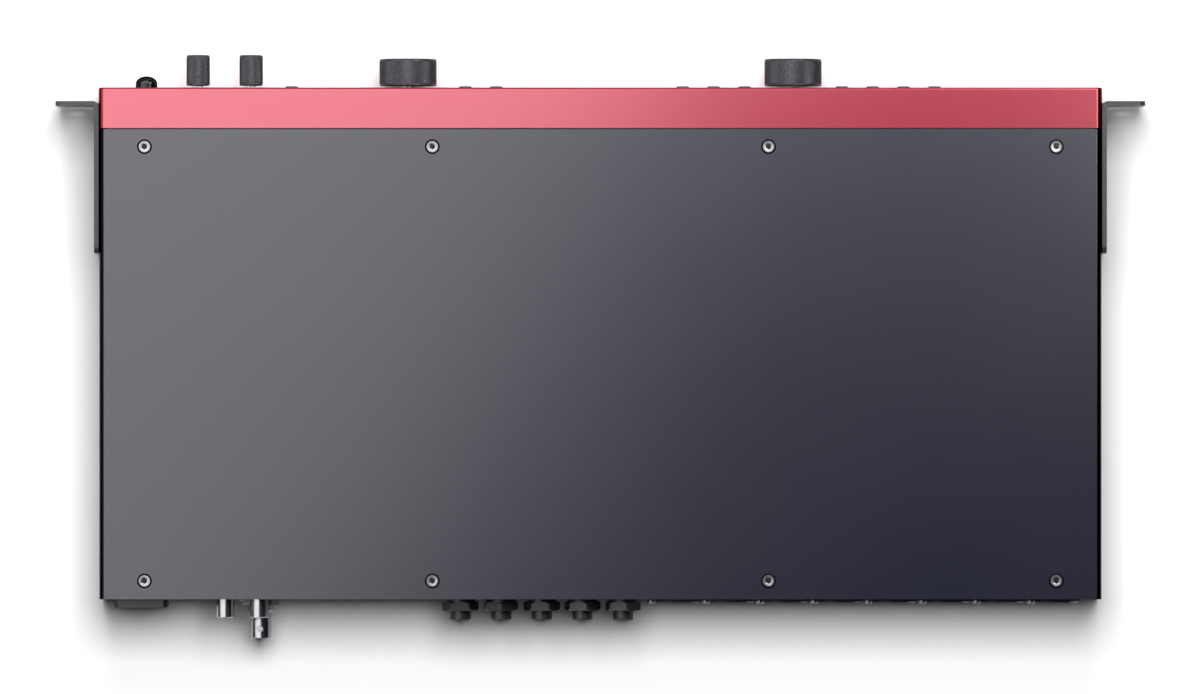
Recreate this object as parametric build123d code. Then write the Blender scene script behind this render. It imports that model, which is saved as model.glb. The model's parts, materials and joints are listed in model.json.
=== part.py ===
from build123d import *
import os

# One-unit 19-inch rack audio interface. Millimetres, +Z up, the front faces -Y, +X is to the right
# as seen from the front. The origin is on the surface it stands on, below the middle of the case.

# Rack standard
rack_width = 482.6
slot_spacing_x = 465.1
slot_spacing_z = 31.75
slot_length = 10.0
slot_width = 6.8

# Case
fascia_width = 444.2
cover_width = 443.7
case_height = 44.0
foot_height = 3.0
case_bottom = foot_height
case_top = foot_height + case_height
case_middle = foot_height + case_height / 2
face_y = -115.0
fascia_depth = 17.9
fascia_rear_y = face_y + fascia_depth
seam = 0.6
cover_front_y = fascia_rear_y + seam
cover_rear_y = 111.5
corner_radius = 2.4
front_edge_radius = 0.8
front_thickness = 3.0
cover_sheet = 1.6
inner_sheet = 1.5
gap = 0.1

# Faces that the other parts are placed from
front_inner_y = face_y + front_thickness
panel_face_y = 111.0
panel_inner_y = panel_face_y - inner_sheet
ceiling = case_top - cover_sheet
floor_top = case_bottom + inner_sheet
side_inner = cover_width / 2 - cover_sheet - gap - inner_sheet
tray_wall_top = 40.0

# Front sub-panel and front board
subpanel_y = -100.5
subpanel_flange_end = -83.0
front_board_y = -103.6
board_thickness = 1.6
boss_radius = 3.5
boss_x = 212.0
boss_rise = 15.0

# Controls along the front, X from the middle
power_x = 201.5
power_radius = 4.75
power_tip_y = -120.3
power_travel = 2.5
headphone_x = (178.3, 154.8)
headphone_knob_z = 35.5
headphone_jack_z = 16.5
headphone_knob_radius = 5.25
headphone_knob_tip_y = -129.5
encoder_x = {"output": 85.4, "input": -85.5}
encoder_knob_radius = 12.75
encoder_knob_tip_y = -128.0
knob_rear_y = -115.9
knob_chamfer = 0.5
shaft_radius = 2.7
shaft_clearance = 0.05
shaft_in_knob = 8.0
shaft_end_y = -104.6
shaft_hole_radius = 3.6
button_pitch = 13.7
button_x = (
    -148.4,
    -148.4 + button_pitch,
    -148.4 + 2 * button_pitch,
    -148.4 + 3 * button_pitch,
    -64.0,
    -64.0 + button_pitch,
    -64.0 + 2 * button_pitch,
    46.3,
    46.3 + button_pitch,
    137.2,
)
button_z = 17.0
button_radius = 2.9
button_proud = 1.05
button_travel = 0.5
cap_clearance = 0.2
flange_extra = 1.0
flange_thickness = 1.0
flange_gap = 0.3
stem_radius = 1.5
tact_size = 6.0
tact_height = 4.0
window_x = (-27.0, 35.0)
window_height = 22.0
instrument_x = (-200.0, -176.0)

# Quarter-inch sockets
jack_bore_radius = 3.25
jack_bore_depth = 31.5
jack_body_width = 15.0
front_nose_radius = 5.5
bushing_radius = 4.5
bushing_end_y = 121.1
line_first_x = 62.05
line_pitch = 18.03
line_columns = 5
line_rows = (34.5, 15.5)
washer_radius = 6.5
washer_thickness = 1.9
nut_flats = 14.3
nut_thickness = 3.8
nut_turns = (0, 30, -5, -16, -18, 12, 25, -9, 4, 20)

# Combined microphone and line sockets
combo_first_x = -32.65
combo_pitch = 24.0
combo_count = 8
combo_flange_width = 23.8
combo_flange_height = 30.0
combo_flange_thickness = 1.3
combo_collar_radius = 11.6
combo_face_y = 112.9
combo_body_radius = 10.8
combo_depth = 34.0
combo_groove = (8.0, 9.6)
combo_groove_depth = 15.0
combo_pin_circle = 5.6
combo_pin_radius = 1.35
combo_screw_offset = (9.9, 12.8)

# Round digital connectors
rca_x = (166.35, 151.4)
rca_z = 36.0
rca_radius = 4.2
rca_root_radius = 4.8
rca_root_end_y = 111.3
rca_end_y = 119.8
rca_hole_radius = 1.65
rca_screw_x = 158.9
bnc_x = 151.0
bnc_z = 18.0
bnc_barrel_radius = 4.85
bnc_end_y = 129.5
bnc_thread_radius = 6.05
bnc_thread_end_y = 117.6
bnc_lug_y = 125.0
bnc_lug_radius = 1.4
bnc_washer_radius = 7.85
bnc_nut_end_y = 114.5

# Flush connectors
optical_x = (134.0, 120.0)
optical_size = 9.8
optical_mouth = (7.6, 7.0)
optical_depth = 14.0
usb_x = 104.0
usb_z = 20.0
midi_x = 86.0
midi_radius = 8.2
midi_cup_radius = 6.9
midi_cup_depth = 9.0
midi_insert_radius = 6.0
flush_rows = line_rows

# Mains inlet, upright
inlet_x = 203.7
inlet_flange = (23.5, 30.7)
inlet_face_y = 115.3
inlet_body = (19.8, 27.0)
inlet_cavity = (16.4, 24.4)
inlet_cavity_depth = 16.0
inlet_pin_length = 11.3

# Rack ears
ear_sheet = 2.0
ear_face_y = -109.0
ear_inner_x = 222.15
ear_arm_end_y = -41.6
ear_height = 43.6
ear_bend_outer = 2.6
ear_bend_inner = 0.6
ear_corner = 3.0
ear_screw_y = (-86.0, -54.0)
ear_screw_rise = 10.0

# Screws
cover_screw_x = (201.8, 74.4)
cover_screw_y = (-88.8, 103.4)
flat_head_radius = 2.75
flat_head_depth = 1.4
flat_head_sunk = 0.15
sink_radius = 3.3
pan_head_radius = 2.7
pan_head_height = 1.6
m3_radius = 1.5
socket_flats = 2.3
socket_depth = 0.9

# Inside
board_bottom = 6.4
board_top = board_bottom + board_thickness
main_board_x = (-214.0, 141.0)
main_board_y = (-50.0, 107.0)
supply_board_x = (146.0, 214.0)
supply_board_y = (-70.0, 80.0)
standoff_radius = 2.6
board_screw_inset = 6.0
foot_radius = 8.0
foot_x = 196.0
foot_y = (-78.0, 88.0)


def block(x0, x1, y0, y1, z0, z1):
    """Box between two opposite corners."""
    middle = Pos((x0 + x1) / 2, (y0 + y1) / 2, (z0 + z1) / 2)
    return middle * Box(x1 - x0, y1 - y0, z1 - z0)


def block_about(x, z, width, height, y0, y1):
    """Box centred on a point of the front or rear face."""
    return block(x - width / 2, x + width / 2, y0, y1, z - height / 2, z + height / 2)


def rod(radius, x, z, y0, y1):
    """Round bar along Y."""
    return Pos(x, (y0 + y1) / 2, z) * Rot(90, 0, 0) * Cylinder(radius, y1 - y0)


def post(radius, x, y, z0, z1):
    """Round bar along Z."""
    return Pos(x, y, (z0 + z1) / 2) * Cylinder(radius, z1 - z0)


def hex_bar(flats, x, z, y0, y1, turn=0):
    """Six-sided bar along Y; turn is in degrees about its axis."""
    bar = extrude(RegularPolygon(flats / 2, 6, major_radius=False), y1 - y0)
    return Pos(x, y1, z) * Rot(90, 0, 0) * Rot(0, 0, turn) * bar


def chamfer_end(shape, size, last=True):
    """Chamfer the rim of the flat face furthest along Y, or the nearest one."""
    face = shape.faces().sort_by(Axis.Y)[-1 if last else 0]
    return chamfer(face.outer_wire().edges(), size)


def flat_screw(length):
    """Countersunk screw along -Z with its head's face at Z = 0."""
    head = Pos(0, 0, -flat_head_depth / 2) * Cone(m3_radius, flat_head_radius, flat_head_depth)
    shank = Pos(0, 0, -length / 2) * Cylinder(m3_radius, length)
    socket = Pos(0, 0, -socket_depth) * extrude(
        RegularPolygon(socket_flats / 2, 6, major_radius=False), socket_depth
    )
    return head + shank - socket


def pan_screw(length):
    """Pan-head screw along -Z with its head standing on Z = 0."""
    head = Pos(0, 0, pan_head_height / 2) * Cylinder(pan_head_radius, pan_head_height)
    head = fillet(head.faces().sort_by(Axis.Z)[-1].edges(), pan_head_height / 2)
    slot = Pos(0, 0, pan_head_height) * (Box(3.0, 0.7, 1.4) + Box(0.7, 3.0, 1.4))
    return head + Pos(0, 0, -length / 2) * Cylinder(m3_radius - 0.1, length) - slot


def sink():
    """Cutter for a flat head, its mouth at Z = 0."""
    depth = sink_radius - m3_radius - gap
    cone = Pos(0, 0, -depth / 2) * Cone(m3_radius + gap, sink_radius, depth)
    return cone + Pos(0, 0, -5) * Cylinder(m3_radius + gap, 10) + Pos(0, 0, 1) * Cylinder(sink_radius, 2)


def boss_places():
    """Where the sub-panel is screwed to the bosses of the fascia."""
    return [(x, case_middle + z) for x in (-boss_x, boss_x) for z in (-boss_rise, boss_rise)]


def make_fascia():
    half = fascia_width / 2
    shell = block(-half, half, face_y, fascia_rear_y, case_bottom, case_top)
    shell = fillet(shell.edges().filter_by(Axis.Y), corner_radius)
    shell = fillet(shell.faces().sort_by(Axis.Y)[0].edges(), front_edge_radius)
    inner = half - cover_sheet
    shell -= block(
        -inner, inner, front_inner_y, fascia_rear_y + 1, case_bottom + cover_sheet, ceiling
    )
    for x, z in boss_places():
        shell += rod(boss_radius, x, z, front_inner_y - gap, subpanel_y - gap)
        shell -= rod(m3_radius, x, z, front_inner_y + 3, subpanel_y)
    start, end = face_y - 1, front_inner_y + 0.5
    shell -= rod(power_radius + 0.35, power_x, case_middle, start, end)
    for x in headphone_x:
        shell -= rod(shaft_hole_radius, x, headphone_knob_z, start, end)
        shell -= rod(front_nose_radius + gap, x, headphone_jack_z, start, end)
    for x in encoder_x.values():
        shell -= rod(shaft_hole_radius, x, case_middle, start, end)
    for x in instrument_x:
        shell -= rod(front_nose_radius + gap, x, case_middle, start, end)
    for x in button_x:
        shell -= rod(button_radius + cap_clearance, x, button_z, start, end)
    opening = window_block(gap, start, end)
    return shell - opening


def window_block(grow, y0, y1):
    """Block of the display window, grown on every side and with round corners."""
    x0, x1 = window_x
    width = x1 - x0 + 2 * grow
    shape = block_about((x0 + x1) / 2, case_middle, width, window_height + 2 * grow, y0, y1)
    return fillet(shape.edges().filter_by(Axis.Y), 1.5)


def make_window():
    return window_block(0, face_y + 0.1, front_inner_y) + window_block(2, front_inner_y, front_inner_y + 0.8)


def make_display_module():
    return window_block(1, front_inner_y + 1, front_board_y - 0.4)


def make_subpanel():
    half = side_inner - 0.2
    rear = subpanel_y + inner_sheet
    plate = block(-half, half, subpanel_y, rear, case_bottom + 2.4, ceiling - gap)
    for z0 in (case_bottom + 2.4, ceiling - gap - inner_sheet):
        plate += block(-half, half, rear, subpanel_flange_end, z0, z0 + inner_sheet)
    for x, z in boss_places():
        plate -= rod(m3_radius + gap, x, z, subpanel_y - 1, rear + 1)
    for x in instrument_x:
        plate -= jack_hole(x, case_middle, subpanel_y - 1, rear + 1)
    for x in headphone_x:
        plate -= jack_hole(x, headphone_jack_z, subpanel_y - 1, rear + 1)
    plate -= block_about(power_x, case_middle, 13, 13, subpanel_y - 1, rear + 1)
    for x in both_sides(cover_screw_x):
        plate -= post(m3_radius + gap / 2, x, cover_screw_y[0], ceiling - 3, ceiling + 1)
    return plate


def both_sides(places):
    return [side * x for side in (-1, 1) for x in places]


def jack_hole(x, z, y0, y1):
    """Square hole that a front socket's body passes through."""
    size = jack_body_width + 1
    return block_about(x, z, size, size, y0, y1)


def make_front_board():
    """Board across the front; the two instrument sockets and the power switch are beside it."""
    board = block(-160, 190, front_board_y, front_board_y + board_thickness, 7, 43)
    for x in headphone_x:
        board -= jack_hole(x, headphone_jack_z, front_board_y - 1, front_board_y + 3)
    return board


def make_tact_switch(x):
    body = block_about(x, button_z, tact_size, tact_size, front_board_y - tact_height, front_board_y)
    return body - rod(stem_radius + cap_clearance, x, button_z, front_board_y - 5, front_board_y - 1)


def make_button(x):
    """Cap with a domed end, a flange behind the fascia and a stem that presses the switch."""
    tip = face_y - button_proud
    cap = rod(button_radius, x, button_z, tip, front_inner_y + flange_gap)
    cap = fillet(cap.faces().sort_by(Axis.Y)[0].edges(), 0.7)
    flange_y = front_inner_y + flange_gap
    flange = rod(button_radius + flange_extra, x, button_z, flange_y, flange_y + flange_thickness)
    stem = rod(stem_radius, x, button_z, flange_y, front_board_y - 1 - button_travel - 0.3)
    return cap + flange + stem


def make_power_button():
    """Straight skirt that closes in an elliptical dome, with a flange and a stem."""
    skirt_y = power_tip_y + 3.2
    dome_depth = skirt_y - power_tip_y
    skirt = rod(power_radius, power_x, case_middle, skirt_y, front_inner_y + flange_gap)
    quarter = make_face(
        [
            Line((0, 0), (power_radius, 0)),
            EllipticalCenterArc((0, 0), power_radius, dome_depth, start_angle=0, arc_size=90),
            Line((0, dome_depth), (0, 0)),
        ]
    )
    dome = revolve(quarter, Axis.Y)
    dome = Pos(power_x, skirt_y, case_middle) * Rot(180, 0, 0) * dome
    flange_y = front_inner_y + flange_gap
    flange = rod(power_radius + flange_extra, power_x, case_middle, flange_y, flange_y + flange_thickness)
    stem = rod(stem_radius, power_x, case_middle, flange_y, front_inner_y + 11)
    return skirt + dome + flange + stem


def make_power_switch():
    start = front_inner_y + flange_gap + flange_thickness + power_travel + 0.5
    body = block_about(power_x, case_middle, 12, 12, start, start + 16)
    end = front_inner_y + 11 + power_travel + 0.5
    return body - rod(stem_radius + cap_clearance, power_x, case_middle, start - 1, end)


def make_rotary_body(x, z, size):
    """Body of a potentiometer or encoder with its threaded bush, bored for the shaft."""
    body = block_about(x, z, size, size, front_board_y - 6.4, front_board_y)
    body += rod(shaft_hole_radius - 0.2, x, z, front_inner_y + 0.4, front_board_y - 6.4)
    return body - rod(shaft_radius + shaft_clearance, x, z, front_inner_y, shaft_end_y + 0.4)


def make_shaft(x, z):
    shaft = rod(shaft_radius, x, z, knob_rear_y - shaft_in_knob, shaft_end_y)
    return chamfer_end(shaft, 0.4, last=False)


def make_knob(x, z, radius, tip_y):
    """Round knob with chamfered rims, bored to sit on its shaft."""
    knob = rod(radius, x, z, tip_y, knob_rear_y)
    knob = chamfer(knob.edges().filter_by(GeomType.CIRCLE), knob_chamfer)
    return knob - rod(shaft_radius, x, z, knob_rear_y - shaft_in_knob, knob_rear_y + 1)


def make_front_jack(x, z):
    """Quarter-inch socket whose nose is flush with the fascia."""
    jack = rod(front_nose_radius, x, z, face_y, front_inner_y + 0.4)
    body_end = face_y + jack_bore_depth + 2
    jack += block_about(x, z, jack_body_width, jack_body_width, front_inner_y + 0.3, body_end)
    jack -= rod(jack_bore_radius, x, z, face_y - 1, face_y + jack_bore_depth)
    rim = Pos(x, face_y + 0.4, z) * Rot(90, 0, 0) * Cone(jack_bore_radius, jack_bore_radius + 0.8, 0.8)
    return jack - rim


def cover_profile(width, top, bottom, sheet):
    """Section of a folded sheet with round outer bends, open at the bottom."""
    outer = Rectangle(width, 2 * (top - bottom))
    outer = fillet(outer.vertices(), corner_radius)
    inner = Rectangle(width - 2 * sheet, 2 * (top - bottom - sheet))
    inner = fillet(inner.vertices(), corner_radius - sheet)
    lower = Pos(0, bottom - top) * Rectangle(width + 2, 2 * (top - bottom))
    return outer - inner - lower


def make_cover():
    section = cover_profile(cover_width, case_top, case_bottom, cover_sheet)
    length = cover_rear_y - cover_front_y
    cover = Pos(0, cover_rear_y, case_bottom) * Rot(90, 0, 0) * extrude(section, length)
    for x in both_sides(cover_screw_x):
        for y in cover_screw_y:
            cover -= Pos(x, y, case_top) * sink()
    for side in (-1, 1):
        for y, z in ear_screw_places():
            cover -= Pos(side * 220, y, z) * Rot(0, 90, 0) * Cylinder(m3_radius + gap, 10)
    return cover


def ear_screw_places():
    return [(y, case_middle + z) for y in ear_screw_y for z in (-ear_screw_rise, ear_screw_rise)]


def make_tray():
    half = cover_width / 2 - cover_sheet - gap
    tray = block(-half, half, cover_front_y, panel_inner_y - gap, case_bottom, tray_wall_top)
    tray = fillet(tray.edges().filter_by(Axis.Y).group_by(Axis.Z)[0], 1.6)
    tray -= block(-side_inner, side_inner, cover_front_y - 1, panel_inner_y, floor_top, case_top)
    for side in (-1, 1):
        for y, z in ear_screw_places():
            tray -= Pos(side * 220, y, z) * Rot(0, 90, 0) * Cylinder(m3_radius + gap, 10)
    for x, y in board_screw_places():
        tray -= post(m3_radius, x, y, case_bottom - 1, floor_top + 1)
    for x, y in foot_places():
        tray -= post(m3_radius, x, y, case_bottom - 1, floor_top + 1)
    return tray


def make_rear_panel():
    """Folded rear plate with a flange along its top and bottom, and a hole for each connector."""
    half = side_inner - 0.2
    z0, z1 = floor_top + gap, ceiling - gap
    panel = block(-half, half, panel_inner_y, panel_face_y, z0, z1)
    for low in (z0, z1 - inner_sheet):
        panel += block(-half, half, panel_inner_y - 12, panel_inner_y, low, low + inner_sheet)
    start, end = panel_inner_y - 1, panel_face_y + 1
    for x in both_sides(cover_screw_x):
        panel -= post(m3_radius + gap / 2, x, cover_screw_y[1], ceiling - 3, ceiling + 1)
    for x, z in line_places():
        panel -= rod(bushing_radius + gap, x, z, start, end)
    for x in combo_places():
        panel -= rod(combo_body_radius + gap, x, case_middle, start, end)
    for x, z in connector_screw_places():
        panel -= rod(m3_radius, x, z, start, end)
    for x in rca_x:
        panel -= rod(rca_root_radius + gap, x, rca_z, start, end)
    panel -= rod(bnc_thread_radius + gap, bnc_x, bnc_z, start, end)
    for x, z in optical_places():
        panel -= block_about(x, z, optical_size + 0.2, optical_size + 0.2, start, end)
    for z in flush_rows:
        panel -= rod(midi_radius + gap, midi_x, z, start, end)
    panel -= usb_block(0.2, start, end)
    return panel - block_about(inlet_x, case_middle, inlet_body[0] + 0.2, inlet_body[1] + 0.2, start, end)


def line_places():
    """Centres of the line output sockets, row by row."""
    return [(line_first_x - line_pitch * i, z) for z in line_rows for i in range(line_columns)]


def combo_places():
    return [combo_first_x - combo_pitch * i for i in range(combo_count)]


def optical_places():
    return [(x, z) for x in optical_x for z in flush_rows]


def connector_screw_places():
    """Two screws beside each combined socket, and one between the phono sockets."""
    dx, dz = combo_screw_offset
    pairs = [(x + s * dx, case_middle + s * dz) for x in combo_places() for s in (1, -1)]
    return pairs + [(rca_screw_x, rca_z)]


def make_line_jack(x, z):
    """Threaded bush through the rear panel with a square body behind it."""
    bush = chamfer_end(rod(bushing_radius, x, z, panel_inner_y - 1, bushing_end_y), 0.5)
    body_end = bushing_end_y - jack_bore_depth - 2
    body = block_about(x, z, jack_body_width, jack_body_width, body_end, panel_inner_y - gap)
    return bush + body - rod(jack_bore_radius, x, z, bushing_end_y - jack_bore_depth, bushing_end_y + 1)


def make_washer(x, z):
    washer = rod(washer_radius, x, z, panel_face_y, panel_face_y + washer_thickness)
    return washer - rod(bushing_radius + gap / 2, x, z, panel_face_y - 1, bushing_end_y)


def make_nut(x, z, turn):
    start = panel_face_y + washer_thickness
    nut = hex_bar(nut_flats, x, z, start, start + nut_thickness, turn)
    crown = rod(nut_flats / 2 + 0.9, x, z, start, start + nut_thickness)
    nut = nut & chamfer(crown.edges().filter_by(GeomType.CIRCLE), 0.6)
    return nut - rod(bushing_radius + gap / 2, x, z, start - 1, start + nut_thickness + 1)


def make_combo(x):
    """Flanged socket: a round collar, a groove for the plug's shell, three pin holes and a jack bore."""
    z = case_middle
    flange_end = panel_face_y + combo_flange_thickness
    socket = block_about(x, z, combo_flange_width, combo_flange_height, panel_face_y, flange_end)
    socket = fillet(socket.edges().filter_by(Axis.Y), 1.2)
    socket += rod(combo_collar_radius, x, z, panel_face_y, combo_face_y)
    socket += rod(combo_body_radius, x, z, combo_face_y - combo_depth, panel_face_y)
    inner, outer = combo_groove
    floor = combo_face_y - combo_groove_depth
    socket -= rod(outer, x, z, floor, combo_face_y + 1) - rod(inner, x, z, floor - 1, combo_face_y + 1)
    socket -= rod(jack_bore_radius, x, z, combo_face_y - jack_bore_depth, combo_face_y + 1)
    for hole in PolarLocations(combo_pin_circle, 3, start_angle=90):
        place = hole.position
        socket -= rod(combo_pin_radius, x + place.X, z - place.Y, floor, combo_face_y + 1)
    for s in (1, -1):
        dx, dz = combo_screw_offset
        socket -= rod(m3_radius, x + s * dx, z + s * dz, panel_face_y - 1, flange_end + 1)
    return socket


def make_connector_screw(x, z):
    """Small dome-headed screw, its head on the flange of its socket."""
    on_combo = z != rca_z
    seat = panel_face_y + (combo_flange_thickness if on_combo else 0)
    head = fillet(rod(1.75, x, z, seat, seat + 1.2).faces().sort_by(Axis.Y)[-1].edges(), 0.6)
    head -= Pos(x, seat + 1.2, z) * (Box(2.2, 0.9, 0.5) + Box(0.5, 0.9, 2.2))
    return head + rod(m3_radius - gap, x, z, panel_inner_y - 3, seat)


def make_phono_block():
    """Housing behind the panel that carries both phono sockets."""
    x0, x1 = rca_x[1] - 6.5, rca_x[0] + 6.5
    housing = block(x0, x1, panel_inner_y - 13, panel_inner_y - gap, rca_z - 6, rca_z + 7)
    for x in rca_x:
        housing -= rod(rca_root_radius + gap, x, rca_z, panel_inner_y - 11, panel_inner_y)
    return housing - rod(m3_radius, rca_screw_x, rca_z, panel_inner_y - 5, panel_inner_y)


def make_phono_socket(x):
    """Round shell on a wider root, with a recessed insulator and a centre contact."""
    shell = chamfer_end(rod(rca_radius, x, rca_z, panel_face_y, rca_end_y), 0.35)
    shell += rod(rca_root_radius, x, rca_z, panel_inner_y - 10.5, rca_root_end_y)
    shell -= rod(rca_radius - 0.6, x, rca_z, rca_end_y - 0.8, rca_end_y + 1)
    return shell - rod(rca_hole_radius, x, rca_z, rca_end_y - 10, rca_end_y + 1)


def make_bnc():
    """Bayonet socket: threaded neck, barrel with two lugs, and a hollow mouth round the insulator."""
    body = block_about(bnc_x, bnc_z, 13, 13, panel_inner_y - 14, panel_inner_y - gap)
    body += rod(bnc_thread_radius, bnc_x, bnc_z, panel_inner_y - 1, bnc_thread_end_y)
    body += chamfer_end(rod(bnc_barrel_radius, bnc_x, bnc_z, panel_inner_y, bnc_end_y), 0.4)
    body += post(bnc_lug_radius, bnc_x, bnc_lug_y, bnc_z - 5.9, bnc_z + 5.9)
    mouth = rod(4.1, bnc_x, bnc_z, bnc_end_y - 9, bnc_end_y + 1)
    insulator = rod(2.4, bnc_x, bnc_z, bnc_end_y - 10, bnc_end_y - 2.5)
    return body - mouth + insulator - rod(0.7, bnc_x, bnc_z, bnc_end_y - 8, bnc_end_y)


def make_bnc_fixings():
    washer_end = panel_face_y + 0.8
    hole = rod(bnc_thread_radius + gap / 2, bnc_x, bnc_z, panel_face_y - 1, bnc_nut_end_y + 1)
    washer = rod(bnc_washer_radius, bnc_x, bnc_z, panel_face_y, washer_end)
    nut = hex_bar(14.0, bnc_x, bnc_z, washer_end, bnc_nut_end_y, 8)
    return [washer - hole, nut - hole]


def make_optical(x, z):
    """Square optical port with a round seat for the fibre at the end of its mouth."""
    end = panel_face_y + 0.2
    port = block_about(x, z, optical_size, optical_size, end - optical_depth, end)
    port -= block_about(x, z, *optical_mouth, end - 8, end + 1)
    return port - rod(1.4, x, z, end - 11, end)


def make_midi_shell(z):
    """Round shell and square body of a five-pin socket, flush with the panel."""
    end = panel_face_y + 0.2
    shell = rod(midi_radius, midi_x, z, panel_inner_y - 1, end)
    shell += block_about(midi_x, z, 17, jack_body_width, panel_inner_y - 13, panel_inner_y - gap)
    return shell - rod(midi_cup_radius, midi_x, z, end - midi_cup_depth, end + 1)


def make_midi_insert(z):
    """Insulator in the shell's cup, with five pin holes round its upper half and a key slot below."""
    end = panel_face_y + 0.2
    insert = rod(midi_insert_radius, midi_x, z, end - midi_cup_depth + gap, end)
    insert -= block_about(midi_x, z - midi_insert_radius, 2.4, 1.6, end - 7, end + 1)
    for hole in PolarLocations(4.2, 5, start_angle=0, angular_range=180):
        insert -= rod(0.8, midi_x + hole.position.X, z + hole.position.Y, end - 7, end + 1)
    return insert


def usb_block(grow, y0, y1):
    """Rounded slot shape of the computer port."""
    shape = block_about(usb_x, usb_z, 9.2 + 2 * grow, 3.4 + 2 * grow, y0, y1)
    return fillet(shape.edges().filter_by(Axis.Y), 1.6 + grow)


def make_usb():
    end = panel_face_y + 0.2
    shell = usb_block(0, end - 10, end)
    cavity = usb_block(-0.35, end - 9.3, end + 1)
    tongue = block_about(usb_x, usb_z, 6.6, 0.7, end - 9.5, end - 1)
    return shell - cavity + tongue


def make_inlet():
    """Upright three-pin mains inlet with a chamfered flange and a keyed cavity."""
    width, height = inlet_flange
    flange = block_about(inlet_x, case_middle, width, height, panel_face_y, inlet_face_y)
    flange = chamfer(flange.edges().filter_by(Axis.Y), 1.6)
    body = block_about(inlet_x, case_middle, *inlet_body, inlet_face_y - 21, panel_face_y)
    cavity = inlet_cavity_shape(inlet_face_y - inlet_cavity_depth, inlet_face_y + 1)
    inlet = flange + body - cavity
    for x, z in inlet_pin_places():
        inlet -= inlet_pin(x, z, gap / 2)
    return inlet


def inlet_cavity_shape(y0, y1):
    """Oblong with two corners cut on the earth pin's side."""
    cavity = block_about(inlet_x, case_middle, *inlet_cavity, y0, y1)
    keyed = cavity.edges().filter_by(Axis.Y).group_by(Axis.X)[-1]
    return chamfer(keyed, 4.0)


def inlet_pin_places():
    return [(inlet_x - 2, case_middle - 7), (inlet_x - 2, case_middle + 7), (inlet_x + 2, case_middle)]


def inlet_pin(x, z, grow):
    """Flat pin that stands in the cavity and runs back through the body."""
    floor = inlet_face_y - inlet_cavity_depth
    return block_about(x, z, 4 + 2 * grow, 2 + 2 * grow, floor - 12, floor + inlet_pin_length)


def make_ear(side):
    """Angle bracket: a flange with two rack slots and an arm screwed to the case's side."""
    tip = rack_width / 2
    arm_outer = ear_inner_x + ear_sheet
    section = Polyline(
        (ear_inner_x, ear_face_y),
        (tip, ear_face_y),
        (tip, ear_face_y + ear_sheet),
        (arm_outer, ear_face_y + ear_sheet),
        (arm_outer, ear_arm_end_y),
        (ear_inner_x, ear_arm_end_y),
        close=True,
    )
    ear = Pos(0, 0, case_middle - ear_height / 2) * extrude(make_face(section), ear_height)
    upright = ear.edges().filter_by(Axis.Z)
    ear = fillet(nearest(upright, ear_inner_x, ear_face_y), ear_bend_outer)
    upright = ear.edges().filter_by(Axis.Z)
    ear = fillet(nearest(upright, arm_outer, ear_face_y + ear_sheet), ear_bend_inner)
    ear = fillet(ear.edges().filter_by(Axis.Y).group_by(Axis.X)[-1], ear_corner)
    ear = fillet(ear.edges().filter_by(Axis.X).group_by(Axis.Y)[-1], ear_corner)
    for z in (-slot_spacing_z / 2, slot_spacing_z / 2):
        slot = extrude(SlotOverall(slot_length, slot_width), 3 * ear_sheet)
        place = Pos(slot_spacing_x / 2, ear_face_y + 2 * ear_sheet, case_middle + z)
        ear -= place * Rot(90, 0, 0) * slot
    for y, z in ear_screw_places():
        ear -= Pos(arm_outer, y, z) * Rot(0, 90, 0) * sink()
    return ear if side > 0 else mirror(ear, Plane.YZ)


def nearest(edges, x, y):
    """The upright edge at a corner of the ear's section."""
    return edges.sort_by_distance((x, y, case_middle))[0]


def make_ear_screws():
    head_x = ear_inner_x + ear_sheet - flat_head_sunk
    right = [Pos(head_x, y, z) * Rot(0, 90, 0) * flat_screw(8) for y, z in ear_screw_places()]
    return right + [mirror(screw, Plane.YZ) for screw in right]


def make_cover_screws():
    head_z = case_top - flat_head_sunk
    places = [(x, y) for x in both_sides(cover_screw_x) for y in cover_screw_y]
    return [Pos(x, y, head_z) * flat_screw(6) for x, y in places]


def foot_places():
    return [(x, y) for x in (-foot_x, foot_x) for y in foot_y]


def make_foot(x, y):
    """Tapered rubber disc with a recess for its screw."""
    foot = Pos(x, y, foot_height / 2) * Cone(foot_radius - 0.6, foot_radius, foot_height)
    return foot - post(3.2, x, y, -1, foot_height - 1) - post(m3_radius, x, y, 0, foot_height + 1)


def make_foot_screw(x, y):
    """Pan-head screw that stands up through a foot, its head inside the recess."""
    return Pos(x, y, foot_height - 1) * Rot(180, 0, 0) * pan_screw(4)


def board_screw_places():
    """Corners of both boards, and two more along the middle of the main board."""
    places = []
    for (x0, x1), (y0, y1) in ((main_board_x, main_board_y), (supply_board_x, supply_board_y)):
        inset = board_screw_inset
        places += [(x, y) for x in (x0 + inset, x1 - inset) for y in (y0 + inset, y1 - 2 * inset - 20)]
    middle = sum(main_board_x) / 2
    return places + [(middle - 30, main_board_y[0] + 6), (middle - 30, main_board_y[1] - 32)]


def make_board(x_range, y_range):
    board = block(*x_range, *y_range, board_bottom, board_top)
    for x, y in board_screw_places():
        board -= post(m3_radius, x, y, board_bottom - 1, board_top + 1)
    return board


def make_standoff(x, y):
    return post(standoff_radius, x, y, floor_top, board_bottom) - post(m3_radius, x, y, 0, 10)


def make_chips():
    """Processor, converters and memory, as plain packages on the main board."""
    processor = block(-10, 17, 0, 27, board_top, board_top + 1.8)
    converters = [block(x, x + 7, 56, 63, board_top, board_top + 1) for x in range(-200, 60, 24)]
    memory = [block(x, x + 10, 34, 42, board_top, board_top + 1) for x in (-14, 2)]
    return [processor] + converters + memory


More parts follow.
